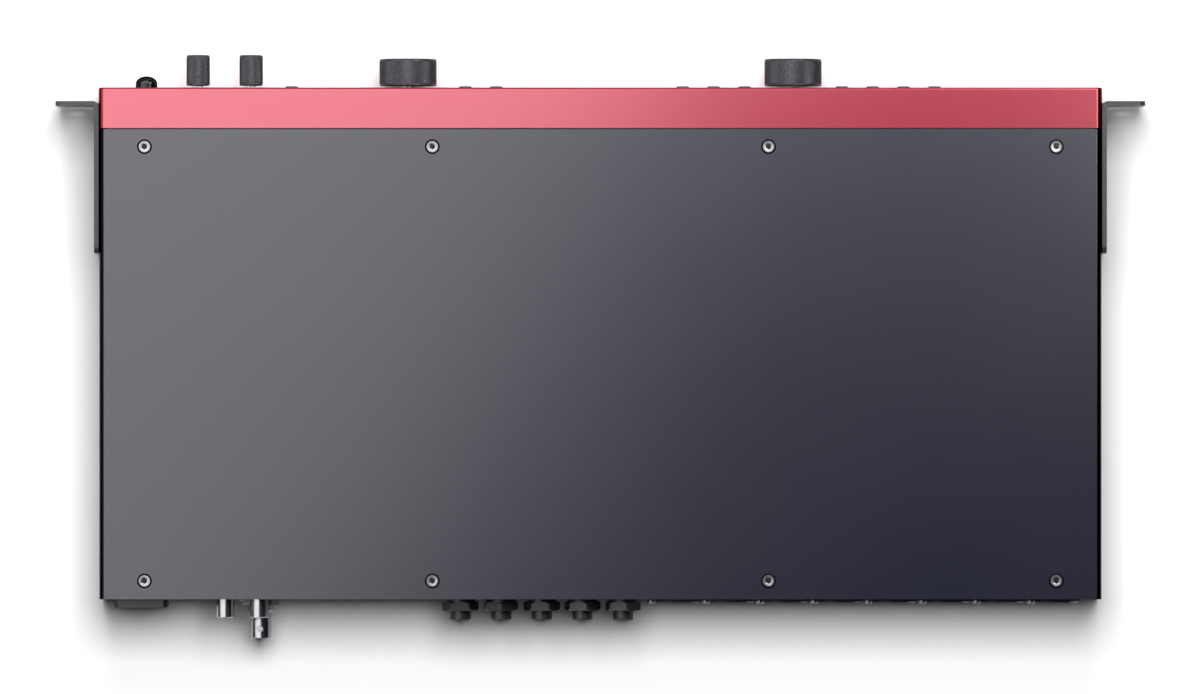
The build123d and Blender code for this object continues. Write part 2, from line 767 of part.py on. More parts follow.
def make_heat_sink():
    """Finned block that stands on the processor."""
    base = board_top + 1.8
    fins = block(-9, 16, 1, 26, base, base + 3)
    for i in range(7):
        x = -9 + 4 * i
        fins += block(x, x + 1, 1, 26, base + 2.9, base + 14)
    return fins


def make_transformer():
    """Ferrite core round a wound bobbin."""
    core = block(165, 195, -30, 4, board_top + 2, board_top + 24)
    bobbin = block(160, 200, -24, -2, board_top, board_top + 26)
    return core + bobbin


def make_capacitors():
    """Upright capacitors on the power supply board."""
    large = [post(9, x, 36, board_top, board_top + 27) for x in (168, 190)]
    small = [post(4, 160 + 11 * i, -48, board_top, board_top + 16) for i in range(4)]
    return large + small


def save(node, shapes):
    """Write one node; a list of shapes is stored as a group of solids."""
    if isinstance(shapes, (list, tuple)):
        shapes = Compound([solid for shape in shapes for solid in shape.solids()])
    export_step(shapes, f"parts/{node}.step")


def save_controls():
    save("power_button", make_power_button())
    save("power_switch", make_power_switch())
    for i, x in enumerate(headphone_x, start=1):
        save(f"headphone_shaft_{i}", make_shaft(x, headphone_knob_z))
        knob = make_knob(x, headphone_knob_z, headphone_knob_radius, headphone_knob_tip_y)
        save(f"headphone_knob_{i}", knob)
    for name, x in encoder_x.items():
        save(f"{name}_shaft", make_shaft(x, case_middle))
        save(f"{name}_knob", make_knob(x, case_middle, encoder_knob_radius, encoder_knob_tip_y))
    for i, x in enumerate(button_x, start=1):
        save(f"front_button_{i:02d}", make_button(x))
    save("tact_switches", [make_tact_switch(x) for x in button_x])
    save("headphone_pots", [make_rotary_body(x, headphone_knob_z, 12) for x in headphone_x])
    save("encoder_bodies", [make_rotary_body(x, case_middle, 14) for x in encoder_x.values()])


def save_front():
    save("front_fascia", make_fascia())
    save("display_window", make_window())
    save("display_module", make_display_module())
    save("front_subpanel", make_subpanel())
    save("front_board", make_front_board())
    save("instrument_jacks", [make_front_jack(x, case_middle) for x in instrument_x])
    save("headphone_jacks", [make_front_jack(x, headphone_jack_z) for x in headphone_x])


def save_case():
    save("top_cover", make_cover())
    save("bottom_tray", make_tray())
    save("rear_panel", make_rear_panel())
    save("rack_ear_left", make_ear(-1))
    save("rack_ear_right", make_ear(1))
    save("ear_screws", make_ear_screws())
    save("cover_screws", make_cover_screws())
    save("rubber_feet", [make_foot(x, y) for x, y in foot_places()])
    save("foot_screws", [make_foot_screw(x, y) for x, y in foot_places()])


def save_rear_connectors():
    save("mains_inlet", make_inlet())
    save("inlet_pins", [inlet_pin(x, z, 0) for x, z in inlet_pin_places()])
    save("rca_sockets", [make_phono_block()] + [make_phono_socket(x) for x in rca_x])
    save("bnc_socket", make_bnc())
    save("bnc_nut_and_washer", make_bnc_fixings())
    save("optical_sockets", [make_optical(x, z) for x, z in optical_places()])
    save("midi_sockets", [make(z) for z in flush_rows for make in (make_midi_shell, make_midi_insert)])
    save("usb_socket", make_usb())
    save("line_output_jacks", [make_line_jack(x, z) for x, z in line_places()])
    save("jack_washers", [make_washer(x, z) for x, z in line_places()])
    save("jack_nuts", [make_nut(x, z, turn) for (x, z), turn in zip(line_places(), nut_turns)])
    save("combo_sockets", [make_combo(x) for x in combo_places()])
    save("connector_screws", [make_connector_screw(x, z) for x, z in connector_screw_places()])


def save_inside():
    save("main_board", make_board(main_board_x, main_board_y))
    save("power_supply_board", make_board(supply_board_x, supply_board_y))
    save("board_standoffs", [make_standoff(x, y) for x, y in board_screw_places()])
    screws = [Pos(x, y, board_top) * pan_screw(5) for x, y in board_screw_places()]
    save("board_screws", screws)
    save("board_chips", make_chips())
    save("heat_sink", make_heat_sink())
    save("power_transformer", make_transformer())
    save("power_capacitors", make_capacitors())


os.makedirs("parts", exist_ok=True)
save_controls()
save_front()
save_case()
save_rear_connectors()
save_inside()
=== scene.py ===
import json
import math
import bmesh
import bpy
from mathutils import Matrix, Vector


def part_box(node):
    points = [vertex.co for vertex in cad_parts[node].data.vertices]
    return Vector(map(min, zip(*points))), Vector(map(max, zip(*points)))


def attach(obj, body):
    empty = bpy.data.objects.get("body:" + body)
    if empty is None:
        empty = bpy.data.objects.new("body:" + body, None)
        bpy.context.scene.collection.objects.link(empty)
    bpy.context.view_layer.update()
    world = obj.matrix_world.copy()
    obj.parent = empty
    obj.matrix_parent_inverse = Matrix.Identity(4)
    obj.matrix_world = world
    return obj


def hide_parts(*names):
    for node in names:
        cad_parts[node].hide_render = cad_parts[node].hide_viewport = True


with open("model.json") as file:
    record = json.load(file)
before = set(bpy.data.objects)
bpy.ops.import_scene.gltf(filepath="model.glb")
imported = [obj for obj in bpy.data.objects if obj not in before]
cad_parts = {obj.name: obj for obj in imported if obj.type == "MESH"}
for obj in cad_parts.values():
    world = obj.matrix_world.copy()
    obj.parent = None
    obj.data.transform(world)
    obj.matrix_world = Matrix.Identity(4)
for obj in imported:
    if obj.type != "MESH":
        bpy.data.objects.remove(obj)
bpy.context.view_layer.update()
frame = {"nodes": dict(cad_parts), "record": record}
nodes = frame["nodes"]
mm = 0.001
print("frame loaded, nodes:", len(nodes))


# Camera: straight above, with the front edge at the top of the view
cameraLook = {"height": 7.0, "widthSeen": 0.53106, "sensor": 36.0, "aim": (0.00018, -0.00014)}


def makeCamera(look):
    lens = bpy.data.cameras.new("camera")
    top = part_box("top_cover")[1].z
    lens.sensor_width = look["sensor"]
    lens.lens = look["sensor"] * look["height"] / look["widthSeen"]
    lens.clip_end = 4 * look["height"]
    camera = bpy.data.objects.new("camera", lens)
    bpy.context.scene.collection.objects.link(camera)
    camera.location = (look["aim"][0], look["aim"][1], top + look["height"])
    camera.rotation_euler = (0, 0, math.pi)
    bpy.context.scene.camera = camera


makeCamera(cameraLook)


# Lights: soft boxes over both front corners and the middle, a broad one in front, a weak one behind
lightLook = {
    "keyLeft": {"spot": (0.375, -0.21, 0.60), "size": 1.0, "watts": 6.3},
    "keyLeftLow": {"spot": (0.42, -0.30, 0.42), "size": 0.5, "watts": 1.0},
    "keyMiddle": {"spot": (0.15, -0.50, 1.60), "size": 0.8, "watts": 1.0},
    "keyRight": {"spot": (-0.47, -0.46, 1.49), "size": 0.70, "watts": 0.9},
    "keyRightLow": {"spot": (-0.37, -0.34, 0.62), "size": 0.40, "watts": 4.6},
    "frontFill": {"spot": (0.0, -1.5, 1.3), "size": 1.10, "watts": 14.0},
    "rearFill": {"spot": (-0.5, 2.2, 0.9), "size": 1.6, "watts": 3.0},
}
floorLight = {"spot": (-0.1, -0.93, 3.5), "size": 2.0, "watts": 165.0}
lightAim = Vector((0, 0, 0.03))
worldLook = {"colour": (0.9, 0.95, 1.0), "strength": 0.01}


def makeLight(name, one):
    lamp = bpy.data.lights.new(name, "AREA")
    lamp.size = one["size"]
    lamp.energy = one["watts"]
    holder = bpy.data.objects.new(name, lamp)
    bpy.context.scene.collection.objects.link(holder)
    holder.location = one["spot"]
    holder.rotation_euler = (lightAim - holder.location).to_track_quat("-Z", "Y").to_euler()
    holder.visible_camera = False
    return holder


def makeWorld(look):
    world = bpy.data.worlds.new("studio")
    world.use_nodes = True
    sky = world.node_tree.nodes["Background"]
    sky.inputs["Color"].default_value = (*look["colour"], 1)
    sky.inputs["Strength"].default_value = look["strength"]
    bpy.context.scene.world = world
    bpy.context.scene.view_settings.view_transform = "Standard"


caseLights = [makeLight(lightName, oneLight) for lightName, oneLight in lightLook.items()]
makeWorld(worldLook)
print("camera and lights placed")


# Shader groups shared by the materials
def startGroup(name, inputs, outputs):
    group = bpy.data.node_groups.new(name, "ShaderNodeTree")
    for label, kind, value in inputs:
        socket = group.interface.new_socket(name=label, in_out="INPUT", socket_type=kind)
        socket.default_value = value
    for label, kind in outputs:
        group.interface.new_socket(name=label, in_out="OUTPUT", socket_type=kind)
    return group, group.nodes.new("NodeGroupInput"), group.nodes.new("NodeGroupOutput")


def addMath(tree, operation, first, second=None):
    node = tree.nodes.new("ShaderNodeMath")
    node.operation = operation
    for socket, value in zip(node.inputs, (first, second)):
        if isinstance(value, (int, float)):
            socket.default_value = value
        elif value is not None:
            tree.links.new(value, socket)
    return node.outputs[0]


def addRange(tree, value, low, high, toLow, toHigh):
    node = tree.nodes.new("ShaderNodeMapRange")
    tree.links.new(value, node.inputs["Value"])
    for label, item in (("From Min", low), ("From Max", high), ("To Min", toLow), ("To Max", toHigh)):
        if isinstance(item, (int, float)):
            node.inputs[label].default_value = item
        else:
            tree.links.new(item, node.inputs[label])
    return node.outputs["Result"]


def addNoise(tree, scale, detail=2.0, stretch=None):
    place = tree.nodes.new("ShaderNodeTexCoord").outputs["Object"]
    if stretch:
        mapping = tree.nodes.new("ShaderNodeMapping")
        mapping.inputs["Scale"].default_value = stretch
        tree.links.new(place, mapping.inputs["Vector"])
        place = mapping.outputs["Vector"]
    noise = tree.nodes.new("ShaderNodeTexNoise")
    noise.inputs["Detail"].default_value = detail
    tree.links.new(place, noise.inputs["Vector"])
    if isinstance(scale, (int, float)):
        noise.inputs["Scale"].default_value = scale
    else:
        tree.links.new(scale, noise.inputs["Scale"])
    return noise.outputs["Fac"]


def makeGrainGroup():
    # fine all-over grain: a height, and a tone around one for the colour
    group, given, result = startGroup(
        "fineGrain",
        [("Scale", "NodeSocketFloat", 2000.0), ("Contrast", "NodeSocketFloat", 0.1)],
        [("Height", "NodeSocketFloat"), ("Tone", "NodeSocketFloat")],
    )
    noise = addNoise(group, given.outputs["Scale"], 3.0)
    low = addMath(group, "SUBTRACT", 1.0, given.outputs["Contrast"])
    high = addMath(group, "ADD", 1.0, given.outputs["Contrast"])
    group.links.new(noise, result.inputs["Height"])
    group.links.new(addRange(group, noise, 0.3, 0.7, low, high), result.inputs["Tone"])
    return group


def makeSmudgeGroup():
    # slow change of gloss, as from handling
    group, given, result = startGroup(
        "smudge",
        [
            ("Scale", "NodeSocketFloat", 14.0),
            ("Low", "NodeSocketFloat", 0.3),
            ("High", "NodeSocketFloat", 0.4),
        ],
        [("Roughness", "NodeSocketFloat")],
    )
    noise = addNoise(group, given.outputs["Scale"], 4.0)
    ranged = addRange(group, noise, 0.3, 0.7, given.outputs["Low"], given.outputs["High"])
    group.links.new(ranged, result.inputs["Roughness"])
    return group


def makeEdgeGroup():
    # one along rounded or worn edges, zero on flat faces
    group, given, result = startGroup(
        "edgeWear",
        [("Radius", "NodeSocketFloat", 0.0004), ("Amount", "NodeSocketFloat", 1.0)],
        [("Mask", "NodeSocketFloat")],
    )
    bevel = group.nodes.new("ShaderNodeBevel")
    bevel.samples = 4
    group.links.new(given.outputs["Radius"], bevel.inputs["Radius"])
    surface = group.nodes.new("ShaderNodeNewGeometry")
    dot = group.nodes.new("ShaderNodeVectorMath")
    dot.operation = "DOT_PRODUCT"
    group.links.new(bevel.outputs["Normal"], dot.inputs[0])
    group.links.new(surface.outputs["Normal"], dot.inputs[1])
    bend = addMath(group, "SUBTRACT", 1.0, dot.outputs["Value"])
    patches = addRange(group, addNoise(group, 900.0), 0.35, 0.65, 1.0, 6.0)
    broken = addMath(group, "MULTIPLY", bend, patches)
    mask = addMath(group, "MULTIPLY", broken, given.outputs["Amount"])
    group.links.new(addMath(group, "MINIMUM", mask, 1.0), result.inputs["Mask"])
    return group


def makePaintGroup():
    # base colour times the grain's tone, moved towards the edge colour by a mask
    group, given, result = startGroup(
        "toneAndEdge",
        [
            ("Base", "NodeSocketColor", (0.5, 0.5, 0.5, 1)),
            ("Edge", "NodeSocketColor", (0.8, 0.8, 0.8, 1)),
            ("Tone", "NodeSocketFloat", 1.0),
            ("Mask", "NodeSocketFloat", 0.0),
        ],
        [("Color", "NodeSocketColor")],
    )
    scaled = group.nodes.new("ShaderNodeVectorMath")
    scaled.operation = "SCALE"
    group.links.new(given.outputs["Base"], scaled.inputs[0])
    group.links.new(given.outputs["Tone"], scaled.inputs["Scale"])
    mix = group.nodes.new("ShaderNodeMix")
    mix.data_type = "RGBA"
    group.links.new(given.outputs["Mask"], mix.inputs["Factor"])
    group.links.new(scaled.outputs["Vector"], mix.inputs["A"])
    group.links.new(given.outputs["Edge"], mix.inputs["B"])
    group.links.new(mix.outputs["Result"], result.inputs["Color"])
    return group


def makeTurnedGroup():
    # fine rings round the piece's own Y axis, as a lathe leaves them
    group, given, result = startGroup(
        "turnedRings",
        [("Pitch", "NodeSocketFloat", 0.00035)],
        [("Height", "NodeSocketFloat")],
    )
    place = group.nodes.new("ShaderNodeTexCoord")
    split = group.nodes.new("ShaderNodeSeparateXYZ")
    group.links.new(place.outputs["Object"], split.inputs["Vector"])
    across = addMath(group, "POWER", split.outputs["X"], 2.0)
    upward = addMath(group, "POWER", split.outputs["Z"], 2.0)
    radius = addMath(group, "SQRT", addMath(group, "ADD", across, upward))
    wave = addMath(group, "SINE", addMath(group, "DIVIDE", radius, given.outputs["Pitch"]))
    group.links.new(wave, result.inputs["Height"])
    return group


def makeStreakGroup():
    # long scratches along X, as rolled or brushed sheet has
    group, given, result = startGroup(
        "rolledStreaks",
        [("Scale", "NodeSocketFloat", 300.0)],
        [("Height", "NodeSocketFloat")],
    )
    noise = addNoise(group, given.outputs["Scale"], 5.0, (0.04, 1.0, 1.0))
    group.links.new(noise, result.inputs["Height"])
    return group


def makeBendShadeGroup():
    # one on a rounded bend between a level face and an upright one, zero on both faces: the mask for shade
    # painted on bends
    group, given, result = startGroup(
        "bendShadeMask",
        [("Start", "NodeSocketFloat", 0.998), ("End", "NodeSocketFloat", 0.12)],
        [("Mask", "NodeSocketFloat")],
    )
    surface = group.nodes.new("ShaderNodeNewGeometry")
    split = group.nodes.new("ShaderNodeSeparateXYZ")
    group.links.new(surface.outputs["Normal"], split.inputs["Vector"])
    level = split.outputs["Z"]
    startFade, endFade = 0.02, 0.08
    near = addMath(group, "SUBTRACT", given.outputs["Start"], startFade)
    leaving = addRange(group, level, near, given.outputs["Start"], 1.0, 0.0)
    far = addMath(group, "SUBTRACT", given.outputs["End"], endFade)
    arriving = addRange(group, level, far, given.outputs["End"], 0.0, 1.0)
    group.links.new(addMath(group, "MULTIPLY", leaving, arriving), result.inputs["Mask"])
    return group


def makeShadeSplitGroup():
    # two colours by a mask, and a metal share by the same mask: paints shade on bends as a darker, duller
    # colour
    group, given, result = startGroup(
        "bendShadeSplit",
        [
            ("First", "NodeSocketColor", (0.5, 0.5, 0.5, 1)),
            ("Second", "NodeSocketColor", (0.1, 0.1, 0.1, 1)),
            ("Mask", "NodeSocketFloat", 0.0),
            ("Share", "NodeSocketFloat", 0.9),
        ],
        [("Color", "NodeSocketColor"), ("Metal", "NodeSocketFloat")],
    )
    mix = group.nodes.new("ShaderNodeMix")
    mix.data_type = "RGBA"
    group.links.new(given.outputs["Mask"], mix.inputs["Factor"])
    group.links.new(given.outputs["First"], mix.inputs["A"])
    group.links.new(given.outputs["Second"], mix.inputs["B"])
    group.links.new(mix.outputs["Result"], result.inputs["Color"])
    metal = addMath(group, "MULTIPLY", given.outputs["Mask"], given.outputs["Share"])
    group.links.new(metal, result.inputs["Metal"])
    return group


grainGroup = makeGrainGroup()
smudgeGroup = makeSmudgeGroup()
edgeGroup = makeEdgeGroup()
paintGroup = makePaintGroup()
turnedGroup = makeTurnedGroup()
streakGroup = makeStreakGroup()
bendShadeGroup = makeBendShadeGroup()
shadeSplitGroup = makeShadeSplitGroup()
print("shader groups built")


# Materials
usualEdgeRadius = 0.0003


def placeGroup(tree, group, values):
    node = tree.nodes.new("ShaderNodeGroup")
    node.node_tree = group
    for label, value in values.items():
        node.inputs[label].default_value = value
    return node


def addBump(tree, shader, height, distance, before=None):
    bump = tree.nodes.new("ShaderNodeBump")
    bump.inputs["Distance"].default_value = distance
    bump.inputs["Strength"].default_value = 1.0
    tree.links.new(height, bump.inputs["Height"])
    if before:
        tree.links.new(before, bump.inputs["Normal"])
    tree.links.new(bump.outputs["Normal"], shader.inputs["Normal"])
    return bump.outputs["Normal"]


def makeFinish(name, look):
    # every finish: base colour with grain and edge tone, uneven gloss, fine bump, and where given, shade
    # painted on rounded bends
    material = bpy.data.materials.new(name)
    material.use_nodes = True
    tree = material.node_tree
    links = tree.links
    shader = tree.nodes["Principled BSDF"]
    grainValues = {"Scale": look["grainScale"], "Contrast": look["grainContrast"]}
    grain = placeGroup(tree, grainGroup, grainValues)
    edgeValues = {"Radius": look.get("edgeRadius", usualEdgeRadius), "Amount": look["edgeAmount"]}
    edge = placeGroup(tree, edgeGroup, edgeValues)
    paintValues = {"Base": (*look["colour"], 1), "Edge": (*look["edgeColour"], 1)}
    paint = placeGroup(tree, paintGroup, paintValues)
    lowGloss, highGloss = look["gloss"]
    gloss = placeGroup(tree, smudgeGroup, {"Low": lowGloss, "High": highGloss})
    links.new(grain.outputs["Tone"], paint.inputs["Tone"])
    links.new(edge.outputs["Mask"], paint.inputs["Mask"])
    links.new(gloss.outputs["Roughness"], shader.inputs["Roughness"])
    colour = paint.outputs["Color"]
    # painted shade: rounded bends take a darker colour and a metal share, standing in for the lights
    # leaving them dark
    if "bendShadeColour" in look:
        bend = placeGroup(tree, bendShadeGroup, {})
        splitValues = {"Second": (*look["bendShadeColour"], 1), "Share": look["bendShadeShare"]}
        split = placeGroup(tree, shadeSplitGroup, splitValues)
        links.new(colour, split.inputs["First"])
        links.new(bend.outputs["Mask"], split.inputs["Mask"])
        links.new(split.outputs["Metal"], shader.inputs["Metallic"])
        colour = split.outputs["Color"]
    links.new(colour, shader.inputs["Base Color"])
    normal = addBump(tree, shader, grain.outputs["Height"], look["bump"])
    if "turned" in look:
        rings = placeGroup(tree, turnedGroup, {"Pitch": look["turned"]})
        normal = addBump(tree, shader, rings.outputs["Height"], look["turnedDepth"], normal)
    if "streaks" in look:
        streaks = placeGroup(tree, streakGroup, {"Scale": look["streaks"]})
        addBump(tree, shader, streaks.outputs["Height"], look["streakDepth"], normal)
    for label, value in look.get("sockets", {}).items():
        shader.inputs[label].default_value = value
    return material


meterCellLook = {
    "edgeAmount": 0.1,
    "grainScale": 900.0,
    "grainContrast": 0.2,
    "bump": 0.000004,
    "gloss": (0.15, 0.25),
}
finishLook = {
    "redAnodised": {
        "colour": (0.25, 0.004, 0.015),
        "edgeColour": (0.20, 0.004, 0.010),
        "edgeAmount": 0.1,
        "grainScale": 2600.0,
        "grainContrast": 0.05,
        "bump": 0.0000002,
        "gloss": (0.205, 0.220),
        # painted shade on the fascia's rounded bends: darker red with a metal share
        "bendShadeColour": (0.11, 0.001, 0.006),
        "bendShadeShare": 0.85,
        "sockets": {
            "Specular IOR Level": 1.0,
            "IOR": 2.1,
            "Specular Tint": (1.0, 0.42, 0.50, 1.0),
        },
    },
    "darkCover": {
        "colour": (0.0036, 0.0042, 0.0160),
        "edgeColour": (0.05, 0.05, 0.055),
        "edgeAmount": 0.1,
        "grainScale": 2400.0,
        "grainContrast": 0.12,
        "bump": 0.0000002,
        "gloss": (0.257, 0.270),
        # painted shade on the cover's rounded bends: near-black metal
        "bendShadeColour": (0.004, 0.004, 0.006),
        "bendShadeShare": 1.0,
        "sockets": {"Specular IOR Level": 1.0},
    },
    "blackPowder": {
        "colour": (0.020, 0.020, 0.022),
        "edgeColour": (0.05, 0.05, 0.05),
        "edgeAmount": 0.15,
        "grainScale": 1500.0,
        "grainContrast": 0.2,
        "bump": 0.00006,
        "gloss": (0.36, 0.46),
        "sockets": {"Specular IOR Level": 0.5},
    },
    "zincPlate": {
        "colour": (0.55, 0.55, 0.53),
        "edgeColour": (0.7, 0.7, 0.68),
        "edgeAmount": 0.3,
        "grainScale": 800.0,
        "grainContrast": 0.1,
        "bump": 0.00001,
        "gloss": (0.28, 0.42),
        "streaks": 400.0,
        "streakDepth": 0.00002,
        "sockets": {"Metallic": 1.0},
    },
    "screwSteel": {
        "colour": (0.30, 0.30, 0.31),
        "edgeColour": (0.5, 0.5, 0.5),
        "edgeAmount": 0.3,
        "grainScale": 3000.0,
        "grainContrast": 0.1,
        "bump": 0.00001,
        "gloss": (0.28, 0.36),
        "sockets": {"Metallic": 1.0},
    },
    # painted shade for the inside of the cover screws' sockets
    "socketShade": {
        "colour": (0.008, 0.008, 0.009),
        "edgeColour": (0.02, 0.02, 0.02),
        "edgeAmount": 0.1,
        "grainScale": 3000.0,
        "grainContrast": 0.2,
        "bump": 0.00001,
        "gloss": (0.4, 0.5),
        "sockets": {"Specular IOR Level": 0.3},
    },
    "meterGreen": {"colour": (0.01, 0.10, 0.03), "edgeColour": (0.02, 0.16, 0.05), **meterCellLook},
    "meterAmber": {"colour": (0.20, 0.09, 0.01), "edgeColour": (0.25, 0.12, 0.02), **meterCellLook},
    "meterRed": {"colour": (0.20, 0.015, 0.01), "edgeColour": (0.25, 0.03, 0.02), **meterCellLook},
    "markWhite": {
        "colour": (0.75, 0.75, 0.73),
        "edgeColour": (0.8, 0.8, 0.78),
        "edgeAmount": 0.1,
        "grainScale": 1500.0,
        "grainContrast": 0.05,
        "bump": 0.00001,
        "gloss": (0.45, 0.6),
    },
    "chrome": {
        "colour": (0.40, 0.40, 0.42),
        "edgeColour": (0.85, 0.85, 0.86),
        "edgeAmount": 0.5,
        "grainScale": 2500.0,
        "grainContrast": 0.05,
        "bump": 0.000002,
        "gloss": (0.18, 0.24),
        "sockets": {"Metallic": 1.0},
    },
    "knobBlack": {
        "colour": (0.018, 0.019, 0.025),
        "edgeColour": (0.34, 0.34, 0.36),
        "edgeAmount": 0.9,
        "edgeRadius": 0.00012,
        "grainScale": 4000.0,
        "grainContrast": 0.15,
        "bump": 0.00001,
        "gloss": (0.30, 0.38),
        "turned": 0.00006,
        "turnedDepth": 0.000006,
        "sockets": {"Metallic": 0.55, "Specular IOR Level": 0.5},
    },
    "buttonGrey": {
        "colour": (0.045, 0.045, 0.048),
        "edgeColour": (0.08, 0.08, 0.08),
        "edgeAmount": 0.2,
        "grainScale": 4000.0,
        "grainContrast": 0.1,
        "bump": 0.00002,
        "gloss": (0.42, 0.52),
    },
    "domeBlack": {
        "colour": (0.030, 0.030, 0.033),
        "edgeColour": (0.04, 0.04, 0.042),
        "edgeAmount": 0.1,
        "grainScale": 4000.0,
        "grainContrast": 0.1,
        "bump": 0.000002,
        "gloss": (0.14, 0.18),
        "sockets": {"Metallic": 1.0, "Specular Tint": (0.15, 0.15, 0.16, 1.0)},
    },
    "blackPlastic": {
        "colour": (0.011, 0.011, 0.012),
        "edgeColour": (0.04, 0.04, 0.042),
        "edgeAmount": 0.25,
        "grainScale": 2800.0,
        "grainContrast": 0.15,
        "bump": 0.00002,
        "gloss": (0.30, 0.40),
    },
    "satinInsulator": {
        "colour": (0.72, 0.71, 0.68),
        "edgeColour": (0.8, 0.8, 0.78),
        "edgeAmount": 0.1,
        "grainScale": 2500.0,
        "grainContrast": 0.04,
        "bump": 0.00001,
        "gloss": (0.35, 0.45),
    },
    "contactGold": {
        "colour": (0.83, 0.62, 0.25),
        "edgeColour": (0.9, 0.7, 0.3),
        "edgeAmount": 0.1,
        "grainScale": 3000.0,
        "grainContrast": 0.05,
        "bump": 0.000005,
        "gloss": (0.18, 0.28),
        "sockets": {"Metallic": 1.0},
    },
    "boardGreen": {
        "colour": (0.012, 0.10, 0.045),
        "edgeColour": (0.3, 0.28, 0.15),
        "edgeAmount": 0.3,
        "grainScale": 700.0,
        "grainContrast": 0.25,
        "bump": 0.00003,
        "gloss": (0.25, 0.4),
    },
    "footRubber": {
        "colour": (0.012, 0.012, 0.012),
        "edgeColour": (0.03, 0.03, 0.03),
        "edgeAmount": 0.3,
        "grainScale": 1800.0,
        "grainContrast": 0.3,
        "bump": 0.00005,
        "gloss": (0.65, 0.8),
    },
    "lensBlack": {
        "colour": (0.004, 0.004, 0.005),
        "edgeColour": (0.02, 0.02, 0.02),
        "edgeAmount": 0.05,
        "grainScale": 900.0,
        "grainContrast": 0.05,
        "bump": 0.000002,
        "gloss": (0.04, 0.09),
        "sockets": {"Coat Weight": 0.5},
    },
}
finishes = {name: makeFinish(name, look) for name, look in finishLook.items()}
print("finishes made:", len(finishes))


# Which finish each material slot of the record takes
slotFinish = {
    "red_anodised": "redAnodised",
    "dark_cover": "darkCover",
    "black_steel": "blackPowder",
    "plated_steel": "zincPlate",
    "screw_black": "screwSteel",
    "chrome_metal": "chrome",
    "knob_black": "knobBlack",
    "button_grey": "buttonGrey",
    "black_plastic": "blackPlastic",
    "socket_metal": "zincPlate",
    "lens_black": "lensBlack",
    "board_green": "boardGreen",
    "foot_rubber": "footRubber",
    "heat_sink_black": "blackPowder",
    "brass_pins": "zincPlate",
}
# the front subpanel is black as painted shade in the seam behind the fascia
nodeFinish = {"power_button": "domeBlack", "front_subpanel": "blackPowder"}  # unlike the rest of their slot
nodeSlots = {row["node"]: row["material_slot"] for row in frame["record"]["subparts"]}


def dressCadNodes():
    for name, thing in nodes.items():
        finish = nodeFinish.get(name, slotFinish[nodeSlots[name]])
        thing.data.materials.clear()
        thing.data.materials.append(finishes[finish])


dressCadNodes()
print("bodies dressed")


# Mesh helpers: every new piece has its own origin, so turned detail runs round its own axis
closedRadius = 1e-7  # a ring smaller than this is one point


def addPiece(name, mesh, origin, body, finish, sharp=35):
    piece = bpy.data.objects.new(name, mesh)
    bpy.context.scene.collection.objects.link(piece)
    piece.location = origin
    mesh.materials.append(finishes[finish])
    mesh.shade_smooth()
    mesh.set_sharp_from_angle(angle=math.radians(sharp))
    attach(piece, body)
    return piece


def finishMesh(name, build):
    bmesh.ops.recalc_face_normals(build, faces=build.faces)
    mesh = bpy.data.meshes.new(name)
    build.to_mesh(mesh)
    build.free()
    return mesh


def addRings(build, rings, steps, radiusAt=None):
    # rings: (radius, place along Y); a radius of zero closes the end
    loops = []
    for index, (radius, along) in enumerate(rings):
        if radius < closedRadius:
            loops.append([build.verts.new((0, along, 0))])
            continue
        loop = []
        for step in range(steps):
            turn = step / steps
            here = radiusAt(index, radius, along, turn) if radiusAt else radius
            angle = 2 * math.pi * turn
            loop.append(build.verts.new((here * math.cos(angle), along, here * math.sin(angle))))
        loops.append(loop)
    for near, far in zip(loops, loops[1:]):
        for step in range(steps):
            after = (step + 1) % steps
            if len(near) == 1:
                build.faces.new((near[0], far[after], far[step]))
            elif len(far) == 1:
                build.faces.new((near[step], near[after], far[0]))
            else:
                build.faces.new((near[step], near[after], far[after], far[step]))


def triangleWave(value):
    return 1 - abs(2 * (value % 1.0) - 1)


def bridge(build, rings):
    for near, far in zip(rings, rings[1:]):
        for step in range(len(near)):
            after = (step + 1) % len(near)
            build.faces.new((near[step], near[after], far[after], far[step]))


def centreOf(node):
    low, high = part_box(node)
    return (low + high) / 2, low, high


def halfWidth(node):
    low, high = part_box(node)
    return (high.x - low.x) / 2


# Knobs: diamond knurl between two turned bands, bright cut rims and a shallow dished face
knobLook = {
    "knurlPitch": 0.95 * mm,
    "knurlDepth": 0.24 * mm,
    "samples": 4,  # mesh steps in one diamond
    "rim": 0.5 * mm,
    "band": 0.25 * mm,
    "bandInset": 0.03 * mm,
    "bandGap": 0.05 * mm,
    "dish": 0.35 * mm,
    "dishInset": 1.3 * mm,
    "dishShape": ((0, 1), (0.5, 0.85), (1, 0.5)),  # share of the dish's radius, share of its depth
    "lip": (0.15 * mm, 0.02 * mm),
    "boreWall": 0.35 * mm,
    "boreDepth": 1.2 * mm,
}


